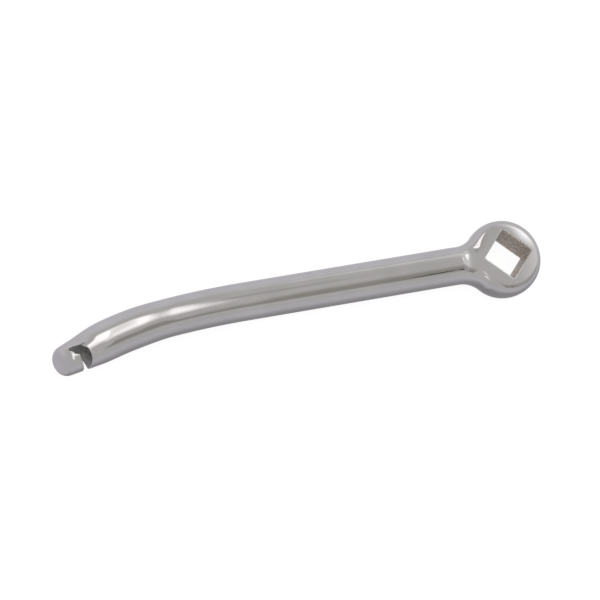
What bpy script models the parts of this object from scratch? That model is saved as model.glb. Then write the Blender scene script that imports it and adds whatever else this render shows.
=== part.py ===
"""Winch handle: a one-hand lever with a square drive socket in a ball-shaped head and a hooked nose.

Frame: origin at the centre of the square socket, half way through the head. +Z runs along the socket,
the straight part of the bar runs toward -X, and the bar bends toward -Y near its far end.
Lengths are in metres.
"""

import math

import bpy
import numpy as np

MM = 0.001

# Head
HEAD_R = 20.55 * MM          # ball radius
HEAD_AT = (-0.7 * MM, -0.7 * MM)   # ball centre, a little off the socket, as hand-ground castings are
FACE_HALF = 9.40 * MM        # half the distance between the two flat faces
EDGE_START = 5.00 * MM       # height on the ball where the rounding toward a flat face begins
SQUARE = 19.20 * MM          # socket, across its flats (3/4 inch drive with clearance)
SQUARE_CORNER = 0.70 * MM    # corner radius inside the socket
RIM = 0.50 * MM              # chamfer where the socket meets a face
NECK_R = 17.0 * MM           # concave neck radius between ball and bar
SEAM_X = 34.0 * MM           # butt weld plane between the head's stub and the bar
GAP = 0.30 * MM              # gap between neighbouring pieces

# Bar centreline: straight, then two arcs that share a tangent, then the straight nose
BEND_START = 147.0 * MM      # stations are measured along the centreline from the socket
BEND_MID = 188.0 * MM
BEND_END = 229.0 * MM
BEND_1_DEG = 4.6
BEND_2_DEG = 11.8
BAR_R = 10.0 * MM
GRIP_R = 10.45 * MM          # the bar swells a little toward the hook
SWELL = (188.0 * MM, 210.0 * MM)
NOSE_START = 229.0 * MM
NOSE_SLOPE = 0.122
NOSE_BLEND = 10.0 * MM       # length over which the cylinder turns into the cone
NOSE_END = 252.8 * MM        # middle of the end face
END_LEAN_DEG = 17.0          # the end face is cut at a slant, toward +Z
CROWN = 0.5 * MM             # slight crown of the end face
EDGE_ROUND = 1.4 * MM

# Hook slot, drawn in the nose's own plane: u toward the tip from SLOT_AT, w toward the outside of the bend
SLOT_AT = 239.7 * MM
SLOT_OUTLINE = [
    (0.40, -16.0), (0.40, -9.3), (0.05, -8.0), (-0.55, -6.6), (-0.95, -5.0), (-1.05, -3.2),
    (-1.00, -0.8), (-0.40, 0.55), (0.40, 1.6), (1.25, 2.7), (2.30, 3.55), (3.80, 4.2),
    (5.50, 4.45), (8.10, 4.20), (7.75, 2.5), (7.00, 1.3), (5.70, 0.1), (4.70, -0.5),
    (4.15, -0.95), (4.10, -1.8), (4.30, -3.5), (4.30, -6.0), (4.05, -7.7), (3.95, -9.3),
    (3.95, -16.0),
]

HEAD_SEG = 64
BAR_SEG = 48


def clear():
    for ob in list(bpy.data.objects):
        bpy.data.objects.remove(ob, do_unlink=True)


def material(name, color, roughness):
    m = bpy.data.materials.new(name)
    m.use_nodes = True
    b = m.node_tree.nodes["Principled BSDF"]
    b.inputs["Base Color"].default_value = (*color, 1.0)
    b.inputs["Metallic"].default_value = 1.0
    b.inputs["Roughness"].default_value = roughness
    return m


def make(name, verts, faces, mat=None):
    me = bpy.data.meshes.new(name)
    me.from_pydata([tuple(map(float, v)) for v in verts], [], faces)
    me.validate()
    me.update()
    ob = bpy.data.objects.new(name, me)
    bpy.context.scene.collection.objects.link(ob)
    if mat:
        me.materials.append(mat)
    for p in me.polygons:
        p.use_smooth = True
    return ob


def skin(rings, first_pole=None, last_pole=None):
    """Closed surface over a list of equal rings; each end is a pole fan or a flat cap."""
    n = len(rings[0])
    verts = [v for ring in rings for v in ring]
    faces = []
    for i in range(len(rings) - 1):
        a, b = i * n, (i + 1) * n
        for k in range(n):
            q = (k + 1) % n
            faces.append((a + k, a + q, b + q, b + k))
    if first_pole is None:
        faces.append(tuple(range(n))[::-1])
    else:
        verts.append(first_pole)
        p = len(verts) - 1
        faces += [(p, (k + 1) % n, k) for k in range(n)]
    e = (len(rings) - 1) * n
    if last_pole is None:
        faces.append(tuple(e + k for k in range(n)))
    else:
        verts.append(last_pole)
        p = len(verts) - 1
        faces += [(p, e + k, e + (k + 1) % n) for k in range(n)]
    return verts, faces


def cut(ob, cutter):
    cutter.hide_render = True
    cutter.display_type = "WIRE"
    m = ob.modifiers.new("cut", "BOOLEAN")
    m.operation = "DIFFERENCE"
    m.solver = "EXACT"
    m.object = cutter


def prism(name, outline, levels):
    """Prism along Z. outline is a list of (x, y); levels is a list of (z, offset function)."""
    rings = [[(*grow(p), z) for p in outline] for z, grow in levels]
    verts, faces = skin(rings)
    ob = make(name, verts, faces)
    ob.hide_render = True
    ob.display_type = "WIRE"
    return ob


def blend(x, lo, hi):
    t = min(1.0, max(0.0, (x - lo) / (hi - lo)))
    return t * t * (3 - 2 * t)


def flatten(x, z):
    """Presses the ball to two flat faces with broad round edges; the bar keeps its full round section."""
    top = 2 * FACE_HALF - EDGE_START
    a = abs(z)
    if a <= EDGE_START:
        f = a
    elif a < top:
        f = a - (a - EDGE_START) ** 2 / (2 * (top - EDGE_START))
    else:
        f = FACE_HALF
    k = blend(x, -27.5 * MM, -17.5 * MM)
    return math.copysign(k * f + (1 - k) * a, z)


def head_profile():
    """(x, radius) stations from the ball's far pole to the seam."""
    neck_x = math.sqrt((HEAD_R + NECK_R) ** 2 - (BAR_R + NECK_R) ** 2)
    ang = math.atan2(BAR_R + NECK_R, -neck_x)      # direction of the neck arc's centre
    out = []
    for i in range(1, 30):
        a = ang * i / 29
        out.append((HEAD_R * math.cos(a), HEAD_R * math.sin(a)))
    start = ang + math.pi
    end = 1.5 * math.pi
    for i in range(1, 10):
        a = start + (end - start) * i / 9
        out.append((-neck_x + NECK_R * math.cos(a), BAR_R + NECK_R + NECK_R * math.sin(a)))
    out.append((-SEAM_X, BAR_R))
    return out


def socket_outline():
    """Rounded square with its diagonals along X and Y."""
    pts = []
    h = SQUARE / 2 - SQUARE_CORNER
    for c in range(4):
        base = c * math.pi / 2
        cx = h * (1 if c in (0, 3) else -1)
        cy = h * (1 if c in (0, 1) else -1)
        for i in range(4):
            a = base + math.pi / 2 * i / 3
            pts.append((cx + SQUARE_CORNER * math.cos(a), cy + SQUARE_CORNER * math.sin(a)))
    r = math.sqrt(0.5)
    return [((x - y) * r, (x + y) * r) for x, y in pts]


def build_head():
    rings = []
    for x, rad in head_profile():
        ring = []
        for k in range(HEAD_SEG):
            a = 2 * math.pi * (k + 0.5) / HEAD_SEG
            q = blend(x, -30 * MM, -12 * MM)      # the ball is offset, the stub is not
            ring.append((x + q * HEAD_AT[0], rad * math.cos(a) + q * HEAD_AT[1], flatten(x, rad * math.sin(a))))
        rings.append(ring)
    verts, faces = skin(rings, first_pole=(HEAD_R + HEAD_AT[0], HEAD_AT[1], 0.0))
    head = make("socket_head", verts, faces, material("socket_head", (0.62, 0.61, 0.62), 0.08))
    out = FACE_HALF + 3 * MM

    def grown(d):
        f = 1 + d * math.sqrt(2) / (SQUARE / math.sqrt(2))
        return lambda p: (p[0] * f, p[1] * f)

    flare = RIM + 3 * MM
    tool = prism(
        "socket_tool",
        socket_outline(),
        [
            (-out, grown(flare)),
            (-(FACE_HALF - RIM), grown(0)),
            (FACE_HALF - RIM, grown(0)),
            (out, grown(flare)),
        ],
    )
    cut(head, tool)
    return head


def frame_at(s):
    """Point, forward and outward directions of the centreline at station s."""
    def turn(t):
        k1 = math.radians(BEND_1_DEG) / (BEND_MID - BEND_START)
        k2 = math.radians(BEND_2_DEG) / (BEND_END - BEND_MID)
        return k1 * min(max(t - BEND_START, 0), BEND_MID - BEND_START) + k2 * min(
            max(t - BEND_MID, 0), BEND_END - BEND_MID
        )

    def along(x, y, lo, hi):
        if hi <= lo:
            return x, y
        a, b = turn(lo), turn(hi)
        chord = (hi - lo) * (math.sin((b - a) / 2) / ((b - a) / 2) if b > a else 1.0)
        m = (a + b) / 2
        return x - chord * math.cos(m), y - chord * math.sin(m)

    x, y = -min(s, BEND_START), 0.0
    x, y = along(x, y, BEND_START, min(s, BEND_MID))
    x, y = along(x, y, BEND_MID, min(s, BEND_END))
    x, y = along(x, y, BEND_END, s)
    a = turn(s)
    return (x, y), (-math.cos(a), -math.sin(a)), (-math.sin(a), math.cos(a))


def bar_radius(s):
    r = BAR_R + (GRIP_R - BAR_R) * blend(s, *SWELL)
    t = s - NOSE_START
    if t > -NOSE_BLEND / 2:
        if t < NOSE_BLEND / 2:
            r -= NOSE_SLOPE * (t + NOSE_BLEND / 2) ** 2 / (2 * NOSE_BLEND)
        else:
            r -= NOSE_SLOPE * t
    return r


def build_bar():
    start = SEAM_X + GAP
    stations = list(np.linspace(start, BEND_START, 5))
    stations += list(np.linspace(BEND_START, BEND_MID, 6)[1:])
    stations += list(np.linspace(BEND_MID, NOSE_START - NOSE_BLEND / 2, 9)[1:])
    stations += list(np.linspace(NOSE_START - NOSE_BLEND / 2, NOSE_START + NOSE_BLEND / 2, 7)[1:])
    stations += list(np.linspace(NOSE_START + NOSE_BLEND / 2, NOSE_END - EDGE_ROUND, 5)[1:])
    prof = [(s, bar_radius(s)) for s in stations]
    # rounded edge, then the crowned end face
    base = bar_radius(NOSE_END - EDGE_ROUND)
    flat_r = bar_radius(NOSE_END) - EDGE_ROUND
    for i in range(1, 5):
        t = math.pi / 2 * i / 4
        prof.append((
            NOSE_END - EDGE_ROUND * (1 - math.sin(t)),
            flat_r + (base - flat_r) * math.cos(t),
        ))
    for i in range(1, 4):
        q = 1 - i / 4
        prof.append((NOSE_END + CROWN * (1 - q * q), flat_r * q))
    lean = math.tan(math.radians(END_LEAN_DEG))
    rings = []
    for s, rad in prof:
        share = blend(s, NOSE_END - 9 * MM, NOSE_END - EDGE_ROUND)
        ring = []
        for k in range(BAR_SEG):
            a = -2 * math.pi * (k + 0.5) / BAR_SEG
            w, z = rad * math.cos(a), rad * math.sin(a)
            (x, y), _, o = frame_at(s - lean * share * z)
            ring.append((x + o[0] * w, y + o[1] * w, z))
        rings.append(ring)
    (x, y), _, _ = frame_at(NOSE_END + CROWN)
    verts, faces = skin(rings, last_pole=(x, y, 0.0))
    bar = make("lever_bar", verts, faces, material("lever_bar", (0.62, 0.61, 0.62), 0.08))
    (x, y), f, o = frame_at(SLOT_AT)
    outline = [
        (x + f[0] * u * MM + o[0] * w * MM, y + f[1] * u * MM + o[1] * w * MM)
        for u, w in SLOT_OUTLINE
    ]

    def keep(p):
        return p

    cut(bar, prism("slot_tool", outline, [(-16 * MM, keep), (16 * MM, keep)]))
    return bar


def outward(ob):
    """Turns the faces to point outward when the closed mesh came out reversed."""
    me = ob.data
    co = [v.co for v in me.vertices]
    vol = 0.0
    for p in me.polygons:
        v = p.vertices
        for i in range(1, len(v) - 1):
            vol += co[v[0]].dot(co[v[i]].cross(co[v[i + 1]]))
    if vol < 0:
        me.flip_normals()


clear()
build_head()
build_bar()
for ob in bpy.data.objects:
    outward(ob)
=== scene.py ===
"""Winch handle: the polished lever, its cast socket and its hook slot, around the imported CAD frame."""

import math

import bpy
import numpy as np
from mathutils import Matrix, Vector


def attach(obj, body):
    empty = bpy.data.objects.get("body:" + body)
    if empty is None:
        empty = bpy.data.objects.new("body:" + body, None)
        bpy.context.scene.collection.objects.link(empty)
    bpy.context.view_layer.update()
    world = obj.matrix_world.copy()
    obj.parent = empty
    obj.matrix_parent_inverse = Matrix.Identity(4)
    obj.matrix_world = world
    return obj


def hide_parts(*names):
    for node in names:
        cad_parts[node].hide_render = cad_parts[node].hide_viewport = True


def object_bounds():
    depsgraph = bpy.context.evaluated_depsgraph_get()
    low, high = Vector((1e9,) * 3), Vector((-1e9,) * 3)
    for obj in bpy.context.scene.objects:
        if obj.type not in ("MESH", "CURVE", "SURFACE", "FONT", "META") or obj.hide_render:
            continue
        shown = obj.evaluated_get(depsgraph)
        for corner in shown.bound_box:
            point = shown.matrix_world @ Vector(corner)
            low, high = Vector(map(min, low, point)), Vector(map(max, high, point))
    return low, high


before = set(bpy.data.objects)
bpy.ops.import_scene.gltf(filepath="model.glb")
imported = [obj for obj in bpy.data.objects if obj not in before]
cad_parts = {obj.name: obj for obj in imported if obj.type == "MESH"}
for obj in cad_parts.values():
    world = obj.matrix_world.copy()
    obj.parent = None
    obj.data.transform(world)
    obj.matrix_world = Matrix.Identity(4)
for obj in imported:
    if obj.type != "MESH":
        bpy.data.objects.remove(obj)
cad_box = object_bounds()

MM = 0.001

# ---------------------------------------------------------------- dimensions, as in the CAD (millimetres)
HEAD_R = 20.55
HEAD_AT = (-0.7, -0.7)
EDGE_START = 3.4      # where the ball starts to round over toward a face
EDGE_STOP = 13.5      # where it has become the face
FACE_SLOPE = 0.10     # the hand-polished faces stay slightly domed
SQUARE = 19.2
SQUARE_CORNER = 0.7
RIM = 0.75
NECK_R = 17.0
SEAM = 34.0
BEND = ((147.0, 188.0, 4.6), (188.0, 229.0, 11.8))
BAR_R = 10.0
GRIP_R = 10.45
SWELL = (188.0, 210.0)
NOSE_START = 229.0
NOSE_SLOPE = 0.122
NOSE_BLEND = 10.0
NOSE_END = 252.8
END_LEAN = math.radians(17.0)
SLOT_AT = 239.7
SLOT_EDGE = 0.7       # rounding of the slot's polished edges
SLOT = [
    (0.90, -16.0), (0.90, -9.4), (0.35, -8.0), (-0.50, -6.6), (-0.95, -5.0), (-1.05, -3.2),
    (-1.00, -0.8), (-0.40, 0.55), (0.40, 1.6), (1.25, 2.7), (2.30, 3.55), (3.80, 4.2),
    (5.50, 4.45), (8.10, 4.20), (7.75, 2.5), (7.00, 1.3), (5.70, 0.1), (4.70, -0.5),
    (4.15, -0.95), (4.10, -1.8), (4.30, -3.5), (4.30, -6.0), (4.05, -7.7), (3.85, -9.3),
    (3.85, -16.0),
]


def step(x, lo, hi):
    t = np.clip((x - lo) / (hi - lo), 0, 1)
    return t * t * (3 - 2 * t)


def smax(a, b, k):
    """Larger of two fields, with the edge between them rounded over a width of about k."""
    h = np.maximum(k - np.abs(a - b), 0) / k
    return np.maximum(a, b) + h * h * k * 0.25


# ---------------------------------------------------------------- centreline of the bar
def turn(s):
    a = np.zeros_like(s)
    for lo, hi, deg in BEND:
        a = a + math.radians(deg) * np.clip((s - lo) / (hi - lo), 0, 1)
    return a


def curvature(s):
    k = np.zeros_like(s)
    for lo, hi, deg in BEND:
        k = k + np.where((s >= lo) & (s < hi), math.radians(deg) / (hi - lo), 0)
    return k


def centreline(s):
    """Point on the centreline at station s: the direction's integral, arc by arc."""
    cuts = [0.0] + [b[0] for b in BEND] + [BEND[-1][1], 400.0]
    x, y = np.zeros_like(s), np.zeros_like(s)
    for lo, hi in zip(cuts[:-1], cuts[1:]):
        top = np.clip(s, lo, hi)
        a, b = turn(np.full_like(s, lo)), turn(top)
        half = (b - a) / 2
        chord = (top - lo) * np.where(half > 1e-9, np.sin(half) / np.maximum(half, 1e-9), 1.0)
        x = x - chord * np.cos((a + b) / 2)
        y = y - chord * np.sin((a + b) / 2)
    return x, y


def bar_radius(s):
    r = BAR_R + (GRIP_R - BAR_R) * step(s, *SWELL)
    t = s - NOSE_START
    h = NOSE_BLEND / 2
    return r - np.where(t > h, NOSE_SLOPE * t, NOSE_SLOPE * np.maximum(t + h, 0) ** 2 / (4 * h))


# ---------------------------------------------------------------- hook slot as a distance table
def cut_corners(points, times):
    """Chaikin's corner cutting on an open line."""
    p = np.array(points, float)
    for _ in range(times):
        q = 0.75 * p[:-1] + 0.25 * p[1:]
        r = 0.25 * p[:-1] + 0.75 * p[1:]
        p = np.vstack([p[:1], np.stack([q, r], 1).reshape(-1, 2), p[-1:]])
    return p


U0, W0, CELL = -8.0, -17.0, 0.06
NU, NW = 440, 520


def slot_table():
    line = cut_corners(SLOT, 3)
    gu = U0 + CELL * np.arange(NU)
    gw = W0 + CELL * np.arange(NW)
    P = np.stack(np.meshgrid(gu, gw, indexing="ij"), -1).reshape(-1, 2)
    best = np.full(len(P), 1e9)
    inside = np.zeros(len(P), bool)
    for a, b in zip(line, np.roll(line, -1, axis=0)):
        d = b - a
        t = np.clip(((P - a) @ d) / (d @ d + 1e-12), 0, 1)
        best = np.minimum(best, ((P - a - t[:, None] * d) ** 2).sum(1))
        crosses = (a[1] > P[:, 1]) != (b[1] > P[:, 1])
        dy = d[1] if abs(d[1]) > 1e-12 else 1e-12
        inside ^= crosses & (P[:, 0] < a[0] + d[0] * (P[:, 1] - a[1]) / dy)
    d = (np.sqrt(best) * np.where(inside, -1, 1)).reshape(NU, NW)
    for _ in range(6):      # takes the table's last facets away
        d[1:-1] = (d[:-2] + 2 * d[1:-1] + d[2:]) / 4
        d[:, 1:-1] = (d[:, :-2] + 2 * d[:, 1:-1] + d[:, 2:]) / 4
    return d


TABLE = slot_table()


def slot_distance(u, w):
    a = np.clip((u - U0) / CELL, 0, NU - 1.001)
    b = np.clip((w - W0) / CELL, 0, NW - 1.001)
    i, j = a.astype(int), b.astype(int)
    a, b = a - i, b - j
    return (
        TABLE[i, j] * (1 - a) * (1 - b) + TABLE[i + 1, j] * a * (1 - b)
        + TABLE[i, j + 1] * (1 - a) * b + TABLE[i + 1, j + 1] * a * b
    )


# ---------------------------------------------------------------- the two solids as fields (negative inside)
def bar_field(s, w, z):
    rho = np.sqrt(w * w + z * z + 1e-9)
    u = s - SLOT_AT
    # shallow dish above the curl of the slot, where the wall was ground back
    dish = 1.4 * np.exp(-(((u - 0.8) / 4.2) ** 2) - ((w - 5.2) / 2.5) ** 2)
    f = rho - bar_radius(s) + dish
    end = (s + math.tan(END_LEAN) * z - NOSE_END) * math.cos(END_LEAN) - 0.6 * (1 - rho * rho / 55)
    f = smax(f, end, 2.8)
    return smax(f, -slot_distance(u, w), SLOT_EDGE)


NECK_X = math.sqrt((HEAD_R + NECK_R) ** 2 - (BAR_R + NECK_R) ** 2)
NECK_BALL = -NECK_X * HEAD_R / (HEAD_R + NECK_R)


def profile(x):
    """Radius of the ball, neck and stub round the bar's axis, and its slope."""
    ball = np.sqrt(np.maximum(HEAD_R**2 - x * x, 1e-6))
    t = np.clip(x + NECK_X, 0, None)
    arc = np.sqrt(np.maximum(NECK_R**2 - t * t, 1e-6))
    neck = BAR_R + NECK_R - arc
    r = np.where(x > NECK_BALL, ball, neck)
    slope = np.where(x > NECK_BALL, -x / ball, t / arc)
    return r, slope


def unflatten(z):
    """Height on the round ball that the flattening brings to z, and its rate of change."""
    T = EDGE_STOP - EDGE_START
    drop = 1 - FACE_SLOPE
    top = EDGE_START + T * (1 - drop / 2)
    t = np.clip(z - EDGE_START, 0, top - EDGE_START)
    # z = t0 - drop t0^2 / 2T, solved for t0
    root = np.sqrt(np.maximum(1 - 2 * drop * t / T, 1e-9))
    mid = EDGE_START + T * (1 - root) / drop
    zi = np.where(z < EDGE_START, z, np.where(z < top, mid, EDGE_STOP + (z - top) / FACE_SLOPE))
    rate = np.where(z < EDGE_START, 1.0, np.where(z < top, 1 / root, 1 / FACE_SLOPE))
    return zi, rate


def head_field(x, y, z):
    q = step(x, -30.0, -12.0)
    px, py = x - q * HEAD_AT[0], y - q * HEAD_AT[1]
    za = np.abs(z)
    zf, rate = unflatten(za)
    k = step(x, -26.5, -14.5)
    zi = k * zf + (1 - k) * za
    rate = k * rate + (1 - k)
    r, slope = profile(px)
    far = px > HEAD_R - 0.8
    rho = np.sqrt(py * py + zi * zi + 1e-9)
    g = np.sqrt((py / rho) ** 2 + (zi * rate / rho) ** 2 + slope**2)
    f = (rho - r) / g
    # near the ball's far pole the round form is steadier
    ball = np.sqrt(px * px + py * py + zi * zi + 1e-9)
    gb = np.sqrt((px / ball) ** 2 + (py / ball) ** 2 + (zi * rate / ball) ** 2)
    f = np.where(px > NECK_BALL, (ball - HEAD_R) / gb, f)
    a = np.abs(x - y) / math.sqrt(2) - (SQUARE / 2 - SQUARE_CORNER)
    b = np.abs(x + y) / math.sqrt(2) - (SQUARE / 2 - SQUARE_CORNER)
    hole = (
        np.sqrt(np.maximum(a, 0) ** 2 + np.maximum(b, 0) ** 2)
        + np.minimum(np.maximum(a, b), 0)
        - SQUARE_CORNER
    )
    return smax(f, -hole, RIM)


# ---------------------------------------------------------------- from field to mesh
def surface_net(field, gx, gy, gz):
    """Quads through the cells that the surface crosses. gx, gy and gz are grid lines."""
    X, Y, Z = np.meshgrid(gx, gy, gz, indexing="ij")
    V = field(X, Y, Z)
    S = V < 0
    n = V.shape
    acc = np.zeros((n[0] - 1, n[1] - 1, n[2] - 1, 3), np.float32)
    cnt = np.zeros(acc.shape[:3], np.float32)
    crossing = []
    G = (gx, gy, gz)
    for ax in range(3):
        lo = [slice(None)] * 3
        hi = [slice(None)] * 3
        lo[ax], hi[ax] = slice(0, -1), slice(1, None)
        lo, hi = tuple(lo), tuple(hi)
        M = S[lo] != S[hi]
        crossing.append(M)
        idx = np.argwhere(M)
        v0, v1 = V[lo][M], V[hi][M]
        t = v0 / (v0 - v1)
        P = np.stack([G[c][idx[:, c]] for c in range(3)], 1)
        P[:, ax] += t * (G[ax][idx[:, ax] + 1] - G[ax][idx[:, ax]])
        o1, o2 = [c for c in range(3) if c != ax]
        for d1 in (0, 1):
            for d2 in (0, 1):
                c = idx.copy()
                c[:, o1] -= d1
                c[:, o2] -= d2
                ok = (c >= 0).all(1) & (c[:, 0] < n[0] - 1) & (c[:, 1] < n[1] - 1) & (c[:, 2] < n[2] - 1)
                flat = np.ravel_multi_index(c[ok].T, cnt.shape)
                np.add.at(cnt.reshape(-1), flat, 1)
                np.add.at(acc.reshape(-1, 3), flat, P[ok].astype(np.float32))
    active = cnt > 0
    number = np.full(cnt.shape, -1, np.int64)
    number[active] = np.arange(active.sum())
    verts = (acc[active] / cnt[active][:, None]).astype(float)
    quads = []
    order = {
        0: ((0, -1, -1), (0, 0, -1), (0, 0, 0), (0, -1, 0)),
        1: ((-1, 0, -1), (-1, 0, 0), (0, 0, 0), (0, 0, -1)),
        2: ((-1, -1, 0), (0, -1, 0), (0, 0, 0), (-1, 0, 0)),
    }
    for ax in range(3):
        idx = np.argwhere(crossing[ax])
        ok = np.ones(len(idx), bool)
        for c in range(3):
            if c != ax:
                ok &= (idx[:, c] > 0) & (idx[:, c] < n[c] - 1)
        idx = idx[ok]
        q = np.stack([number[tuple((idx + np.array(o)).T)] for o in order[ax]], 1)
        leaves = S[tuple(idx.T)]
        q[~leaves] = q[~leaves][:, ::-1]
        quads.append(q)
    return verts, np.vstack(quads)


def gradient(field, P, e=0.03):
    out = []
    for c in range(3):
        d = np.zeros(3)
        d[c] = e
        a, b = P + d, P - d
        out.append((field(*a.T) - field(*b.T)) / (2 * e))
    return np.stack(out, 1)


def settle(field, P, reach):
    """Moves the points on to the surface itself, none by more than reach."""
    start = P.copy()
    for _ in range(5):
        g = gradient(field, P)
        f = field(*P.T)
        P = P - (f / np.maximum((g * g).sum(1), 1e-6))[:, None] * g
        d = P - start
        length = np.linalg.norm(d, axis=1)
        P = start + d * np.minimum(1, reach / np.maximum(length, 1e-9))[:, None]
    return P


def closed_mesh(name, verts, quads, normals, axis, value, seam_normal, to_row, flip):
    """Adds the flat seam face at one end, turns everything into row coordinates and sets true normals."""
    e = np.vstack([quads[:, [i, (i + 1) % 4]] for i in range(4)])
    key = np.sort(e, 1)
    _, inv, count = np.unique(key, axis=0, return_inverse=True, return_counts=True)
    open_edges = e[count[inv.reshape(-1)] == 1]
    follow = {int(a): int(b) for a, b in open_edges}
    first = int(open_edges[0][0])
    loop = [first]
    while follow[loop[-1]] != first:
        loop.append(follow[loop[-1]])
    ring = verts[loop].copy()
    ring[:, axis] = value
    base = len(verts)
    m = len(loop)
    all_v = np.vstack([verts, ring])
    faces = quads.tolist()
    for i in range(m):
        j = (i + 1) % m
        faces.append([loop[j], loop[i], base + i, base + j])
    cap = [base + i for i in range(m)][::-1]
    faces.append(cap)
    P, N = to_row(all_v, np.vstack([normals, normals[loop]]))
    if flip:
        faces = [f[::-1] for f in faces]
    me = bpy.data.meshes.new(name)
    me.from_pydata((P * MM).tolist(), [], faces)
    me.update()
    for p in me.polygons:
        p.use_smooth = True
    me.polygons[len(faces) - 1].use_smooth = False
    vi = np.empty(len(me.loops), np.int32)
    me.loops.foreach_get("vertex_index", vi)
    LN = N[vi]
    LN[-m:] = seam_normal
    me.normals_split_custom_set(LN.tolist())
    ob = bpy.data.objects.new(name, me)
    bpy.context.scene.collection.objects.link(ob)
    return ob


def build_head():
    fine = 0.28
    gx = np.arange(-SEAM, 21.3, fine)
    gy = np.arange(-22.2, 21.4, fine)
    gz = np.arange(-11.5, 11.6, fine)
    v, q = surface_net(head_field, gx, gy, gz)
    v = settle(head_field, v, 0.3)
    g = gradient(head_field, v)
    n = g / np.linalg.norm(g, axis=1)[:, None]
    return closed_mesh("head_shell", v, q, n, 0, -SEAM, (-1, 0, 0), lambda P, N: (P, N), False)


def build_bar():
    fine = 0.26
    gs = np.concatenate([np.arange(SEAM, 147, 3.0), np.arange(147, 216, 1.0), np.arange(216, 256.5, fine)])
    gw = np.arange(-11.3, 11.4, fine)
    v, q = surface_net(bar_field, gs, gw, gw)
    v = settle(bar_field, v, 0.3)
    g = gradient(bar_field, v)

    def to_row(P, N):
        s, w, z = P.T
        x, y = centreline(s)
        a = turn(s)
        fwd = np.stack([-np.cos(a), -np.sin(a), 0 * a], 1)
        out = np.stack([-np.sin(a), np.cos(a), 0 * a], 1)
        stretch = 1 + curvature(s) * w
        M = fwd * (N[:, 0] / stretch)[:, None] + out * N[:, 1][:, None]
        M[:, 2] += N[:, 2]
        return (
            np.stack([x, y, z], 1) + out * w[:, None],
            M / np.linalg.norm(M, axis=1)[:, None],
        )

    n = g / np.linalg.norm(g, axis=1)[:, None]
    return closed_mesh("lever_shell", v, q, n, 0, SEAM, (1, 0, 0), to_row, True)


# ---------------------------------------------------------------- node helpers
class Net:
    """A few words for building maths out of nodes."""

    def __init__(self, tree):
        self.t = tree

    def node(self, kind, **inputs):
        n = self.t.nodes.new(kind)
        for k, v in inputs.items():
            self.put(n.inputs[k.replace("_", " ")], v)
        return n

    def put(self, socket, v):
        if isinstance(v, bpy.types.NodeSocket):
            self.t.links.new(v, socket)
        else:
            socket.default_value = v

    def m(self, op, a, b=0.0, c=0.0):
        n = self.t.nodes.new("ShaderNodeMath")
        n.operation = op
        for s, v in zip(n.inputs, (a, b, c)):
            self.put(s, v)
        return n.outputs[0]

    def ramp(self, x, lo, hi, out_lo=0.0, out_hi=1.0):
        n = self.t.nodes.new("ShaderNodeMapRange")
        n.interpolation_type = "SMOOTHSTEP"
        for s, v in zip(n.inputs, (x, lo, hi, out_lo, out_hi)):
            self.put(s, v)
        return n.outputs[0]

    def mix(self, f, a, b):
        n = self.t.nodes.new("ShaderNodeMix")
        n.data_type = "RGBA"
        self.put(n.inputs[0], f)
        self.put(n.inputs[6], a if isinstance(a, bpy.types.NodeSocket) else (*a, 1.0))
        self.put(n.inputs[7], b if isinstance(b, bpy.types.NodeSocket) else (*b, 1.0))
        return n.outputs[2]

    def noise(self, vec, scale, detail=3.0, rough=0.5):
        n = self.t.nodes.new("ShaderNodeTexNoise")
        self.put(n.inputs["Vector"], vec)
        self.put(n.inputs["Scale"], scale)
        self.put(n.inputs["Detail"], detail)
        self.put(n.inputs["Roughness"], rough)
        return n.outputs["Fac"]

    def mapped(self, vec, scale=(1, 1, 1), turn_z=0.0):
        n = self.t.nodes.new("ShaderNodeMapping")
        self.put(n.inputs["Vector"], vec)
        n.inputs["Scale"].default_value = scale
        n.inputs["Rotation"].default_value = (0, 0, turn_z)
        return n.outputs[0]

    def bump(self, height, strength, distance, normal=None):
        n = self.t.nodes.new("ShaderNodeBump")
        n.inputs["Strength"].default_value = strength
        n.inputs["Distance"].default_value = distance
        self.put(n.inputs["Height"], height)
        if normal:
            self.put(n.inputs["Normal"], normal)
        return n.outputs[0]


STEEL = (0.545, 0.530, 0.540)


def steel(name, inner):
    """Mirror-polished stainless steel. inner(net, position) gives the mask, colour, roughness, height, depth and
    dullness of the unpolished walls; in the slot that dark wall colour is painted shade.
    """
    mat = bpy.data.materials.new(name)
    mat.use_nodes = True
    t = mat.node_tree
    net = Net(t)
    b = t.nodes["Principled BSDF"]
    pos = net.node("ShaderNodeTexCoord").outputs["Object"]
    cloud = net.noise(pos, 55.0, 4.0, 0.55)
    fine = net.noise(pos, 900.0, 3.0, 0.6)
    lines = net.noise(net.mapped(pos, (60.0, 2600.0, 2600.0)), 1.0, 2.0, 0.6)
    color = net.mix(net.ramp(cloud, 0.32, 0.7), STEEL, tuple(c * 0.93 for c in STEEL))
    rough = net.m("ADD", net.ramp(cloud, 0.3, 0.75, 0.045, 0.08), net.ramp(fine, 0.45, 0.8, 0.0, 0.03))
    wave = net.noise(pos, 75.0, 1.5, 0.4)
    height = net.m("ADD", wave, net.m("MULTIPLY", lines, 0.012))
    normal = net.bump(height, 0.14, 0.00022)
    mask, wall, wall_rough, wall_height, depth, dull = inner(net, pos)
    normal = net.bump(net.m("MULTIPLY", wall_height, mask), 1.0, depth, normal)
    net.put(b.inputs["Base Color"], net.mix(mask, color, wall))
    net.put(b.inputs["Metallic"], net.m("SUBTRACT", 1.0, net.m("MULTIPLY", mask, dull)))
    net.put(b.inputs["Roughness"], net.m("ADD", net.m("MULTIPLY", rough, net.m("SUBTRACT", 1.0, mask)), net.m("MULTIPLY", wall_rough, mask)))
    net.put(b.inputs["Normal"], normal)
    return mat


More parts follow.
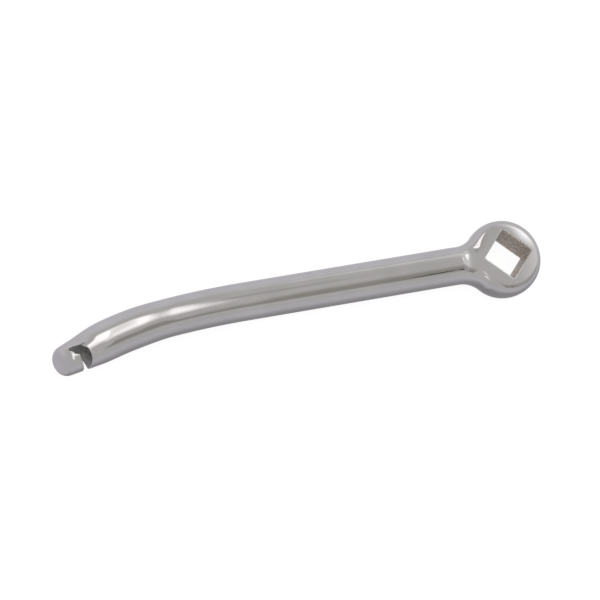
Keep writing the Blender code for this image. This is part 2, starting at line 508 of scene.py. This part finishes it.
def socket_walls(net, pos):
    x, y, z = net.node("ShaderNodeSeparateXYZ", Vector=pos).outputs
    a = net.m("ABSOLUTE", net.m("SUBTRACT", x, y))
    b = net.m("ABSOLUTE", net.m("ADD", x, y))
    d = net.m("MULTIPLY", net.m("MAXIMUM", a, b), 1 / math.sqrt(2))
    grain = net.noise(pos, 900.0, 3.0, 0.6)
    blotch = net.noise(pos, 150.0, 3.0, 0.6)
    edge = net.m("ADD", d, net.m("MULTIPLY", net.m("SUBTRACT", grain, 0.5), 0.00035))
    mask = net.ramp(edge, SQUARE / 2 * MM + 0.00005, SQUARE / 2 * MM + 0.00028, 1.0, 0.0)
    wall = net.mix(net.ramp(grain, 0.36, 0.64), (0.27, 0.23, 0.205), (0.60, 0.545, 0.50))
    wall = net.mix(net.ramp(blotch, 0.42, 0.66, 0.0, 0.6), wall, (0.42, 0.35, 0.30))
    return mask, wall, net.ramp(grain, 0.3, 0.7, 0.42, 0.62), net.m("ADD", grain, net.m("MULTIPLY", blotch, 0.8)), 0.00022, 0.7


# the slot's unpolished walls: their grain and tool marks are real, their dark colour is painted shade of the recess
def slot_walls_with_painted_shade(net, pos):
    s0 = np.array([SLOT_AT])
    x0, y0 = centreline(s0)
    a = float(turn(s0)[0])
    x, y, z = net.node("ShaderNodeSeparateXYZ", Vector=pos).outputs
    dx, dy = net.m("SUBTRACT", x, float(x0[0]) * MM), net.m("SUBTRACT", y, float(y0[0]) * MM)
    u = net.m("ADD", net.m("MULTIPLY", dx, -math.cos(a)), net.m("MULTIPLY", dy, -math.sin(a)))
    w = net.m("ADD", net.m("MULTIPLY", dx, -math.sin(a)), net.m("MULTIPLY", dy, math.cos(a)))
    rho = net.m("SQRT", net.m("ADD", net.m("MULTIPLY", w, w), net.m("MULTIPLY", z, z)))
    grain = net.noise(pos, 420.0, 4.0, 0.6)
    marks = net.noise(net.mapped(pos, (300.0, 300.0, 3200.0)), 1.0, 2.0, 0.6)
    edge = net.m("ADD", rho, net.m("MULTIPLY", net.m("SUBTRACT", grain, 0.5), 0.0006))
    skin = net.m("SUBTRACT", (bar_radius(s0)[0] - 0.45) * MM, net.m("MULTIPLY", u, NOSE_SLOPE))
    skin = net.m("SUBTRACT", skin, net.ramp(w, 0.0032, 0.0046, 0.0, 0.0014))
    mask = net.ramp(net.m("SUBTRACT", edge, skin), -0.0004, 0.0001, 1.0, 0.0)
    mask = net.m("MULTIPLY", mask, net.ramp(u, 0.0086, 0.0094, 1.0, 0.0))
    mask = net.m("MULTIPLY", mask, net.ramp(u, -0.004, -0.002))
    # painted shade: this dark colour stands in for the shade inside the slot; the grain mottling in it is the walls'
    # own
    wall = net.mix(net.ramp(grain, 0.35, 0.65), (0.115, 0.112, 0.100), (0.27, 0.265, 0.245))
    return mask, wall, net.ramp(grain, 0.3, 0.7, 0.26, 0.40), net.m("ADD", marks, net.m("MULTIPLY", grain, 0.7)), 0.00012, 0.0


head = build_head()
head.data.materials.append(steel("head_steel", socket_walls))
bar = build_bar()
bar.data.materials.append(steel("lever_steel", slot_walls_with_painted_shade))
for ob, node in ((head, "socket_head"), (bar, "lever_bar")):
    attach(ob, "root")
    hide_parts(node)

# ---------------------------------------------------------------- floor
low = min(cad_box[0][2], cad_box[1][2])
me = bpy.data.meshes.new("floor")
size = 30.0
me.from_pydata([(-size, -size, low), (size, -size, low), (size, size, low), (-size, size, low)], [], [(0, 1, 2, 3)])
floor = bpy.data.objects.new("floor", me)
bpy.context.scene.collection.objects.link(floor)
mat = bpy.data.materials.new("floor_paper")
mat.use_nodes = True
net = Net(mat.node_tree)
pos = net.node("ShaderNodeTexCoord").outputs["Object"]
b = mat.node_tree.nodes["Principled BSDF"]
net.put(b.inputs["Base Color"], net.mix(net.ramp(net.noise(pos, 9.0, 4.0, 0.6), 0.3, 0.7), (0.115, 0.115, 0.12), (0.135, 0.135, 0.135)))
b.inputs["Emission Color"].default_value = (1.0, 1.0, 1.0, 1.0)
b.inputs["Emission Strength"].default_value = 0.90
b.inputs["Roughness"].default_value = 0.9
b.inputs["Specular IOR Level"].default_value = 0.1
me.materials.append(mat)
floor.visible_glossy = False      # the polished steel mirrors the tent's own lower half instead

# ---------------------------------------------------------------- studio: a soft tent with an open, darker side and softboxes
world = bpy.data.worlds.new("studio")
bpy.context.scene.world = world
world.use_nodes = True
net = Net(world.node_tree)
d = net.node("ShaderNodeTexCoord").outputs["Generated"]
x, y, z = net.node("ShaderNodeSeparateXYZ", Vector=d).outputs
above = net.mix(net.ramp(y, -0.35, 0.45), (0.66, 0.655, 0.63), (0.74, 0.735, 0.705))
horizon = net.mix(net.ramp(y, -0.3, 0.3), (0.73, 0.72, 0.75), (0.83, 0.82, 0.85))
tent = net.mix(net.ramp(z, 0.05, 0.62), horizon, above)
deep = net.mix(net.ramp(y, -0.25, 0.5), (0.38, 0.375, 0.39), (0.72, 0.71, 0.745))
deep = net.mix(net.ramp(x, -0.55, -0.3), (0.72, 0.71, 0.745), deep)
tent = net.mix(net.ramp(z, -0.85, 0.0), deep, tent)
bg = world.node_tree.nodes["Background"]
net.put(bg.inputs["Color"], tent)

# the tent's roof, close above the handle: pale cloth, two softboxes behind it, a darker opening and a stand
ROOF = 0.60
REACH = 1.6
me = bpy.data.meshes.new("tent_roof")
me.from_pydata([(-REACH, -REACH, ROOF), (REACH, -REACH, ROOF), (REACH, REACH, ROOF), (-REACH, REACH, ROOF)], [], [(0, 1, 2, 3)])
roof = bpy.data.objects.new("tent_roof", me)
bpy.context.scene.collection.objects.link(roof)
mat = bpy.data.materials.new("tent_cloth")
mat.use_nodes = True
t = mat.node_tree
t.nodes.clear()
net = Net(t)
x, y, _ = net.node("ShaderNodeSeparateXYZ", Vector=net.node("ShaderNodeTexCoord").outputs["Object"]).outputs


def span(c, lo, hi, soft_lo, soft_hi):
    """1 between lo and hi, falling to 0 over the soft width at each end."""
    up = net.ramp(c, lo - soft_lo / 2, lo + soft_lo / 2)
    return net.m("MULTIPLY", up, net.ramp(c, hi - soft_hi / 2, hi + soft_hi / 2, 1.0, 0.0))


def patch(base, xs, ys, color):
    return net.mix(net.m("MULTIPLY", span(x, *xs), span(y, *ys)), base, color)


cloth = net.mix(net.ramp(y, -0.5, 0.1), (0.70, 0.695, 0.67), (0.70, 0.695, 0.665))
cloth = patch(cloth, (0.03, 0.15, 0.04, 0.10), (0.17, 0.34, 0.10, 0.10), (0.58, 0.575, 0.545))
cloth = patch(cloth, (0.34, 9.0, 0.25, 0.1), (-0.12, 9.0, 0.30, 0.1), (1.00, 0.995, 0.97))
cloth = patch(cloth, (0.085, 9.0, 0.05, 0.1), (-0.58, -0.15, 0.16, 0.26), (0.43, 0.42, 0.385))
cloth = patch(cloth, (0.33, 9.0, 0.20, 0.1), (-0.75, -0.10, 0.20, 0.20), (0.56, 0.55, 0.53))
cloth = patch(cloth, (-0.30, 0.035, 0.07, 0.05), (0.02, 0.58, 0.26, 0.26), (1.95, 1.93, 1.88))
cloth = patch(cloth, (-0.085, -0.035, 0.03, 0.04), (-0.05, 0.62, 0.20, 0.20), (1.35, 1.33, 1.28))
cloth = patch(cloth, (0.36, 0.60, 0.10, 0.12), (0.19, 0.44, 0.10, 0.12), (1.85, 1.85, 1.83))
cloth = patch(cloth, (-0.36, -0.18, 0.08, 0.06), (-0.26, 0.12, 0.10, 0.20), (1.60, 1.58, 1.54))
cloth = patch(cloth, (0.238, 0.264, 0.006, 0.006), (-0.50, -0.40, 0.02, 0.02), (0.0, 0.0, 0.0))
glow = net.node("ShaderNodeEmission", Color=cloth)
rim = net.m("MULTIPLY", span(x, -1.3, 1.3, 0.5, 0.5), span(y, -1.3, 1.3, 0.5, 0.5))
mixed = t.nodes.new("ShaderNodeMixShader")
t.links.new(rim, mixed.inputs[0])
t.links.new(net.node("ShaderNodeBsdfTransparent").outputs[0], mixed.inputs[1])
t.links.new(glow.outputs[0], mixed.inputs[2])
t.links.new(mixed.outputs[0], net.node("ShaderNodeOutputMaterial").inputs["Surface"])
me.materials.append(mat)
roof.visible_camera = False
roof.visible_diffuse = False
roof.visible_shadow = False
roof.visible_transmission = False

light = bpy.data.lights.new("overhead", "AREA")
light.shape = "DISK"
light.size = 1.6
light.energy = 12.0
overhead = bpy.data.objects.new("overhead", light)
overhead.location = (-0.1, 0.1, 1.3)
overhead.visible_glossy = False
overhead.visible_camera = False
bpy.context.scene.collection.objects.link(overhead)

# ---------------------------------------------------------------- camera
cam = bpy.data.cameras.new("camera")
cam.sensor_width = 36.0
cam.lens = 270.0
cam.clip_start = 0.05
cam.clip_end = 100.0
camera = bpy.data.objects.new("camera", cam)
bpy.context.scene.collection.objects.link(camera)
from mathutils import Matrix, Vector

back = Vector((-0.34108, -0.17401, 0.92381)).normalized()
right = Vector((0.92692, -0.22584, 0.29964))
right = (right - back * right.dot(back)).normalized()
up = back.cross(right)
camera.matrix_world = Matrix((
    (right.x, up.x, back.x, -0.914087),
    (right.y, up.y, back.y, -0.410884),
    (right.z, up.z, back.z, 2.160003),
    (0, 0, 0, 1),
))
bpy.context.scene.camera = camera
bpy.context.scene.view_settings.view_transform = "Standard"
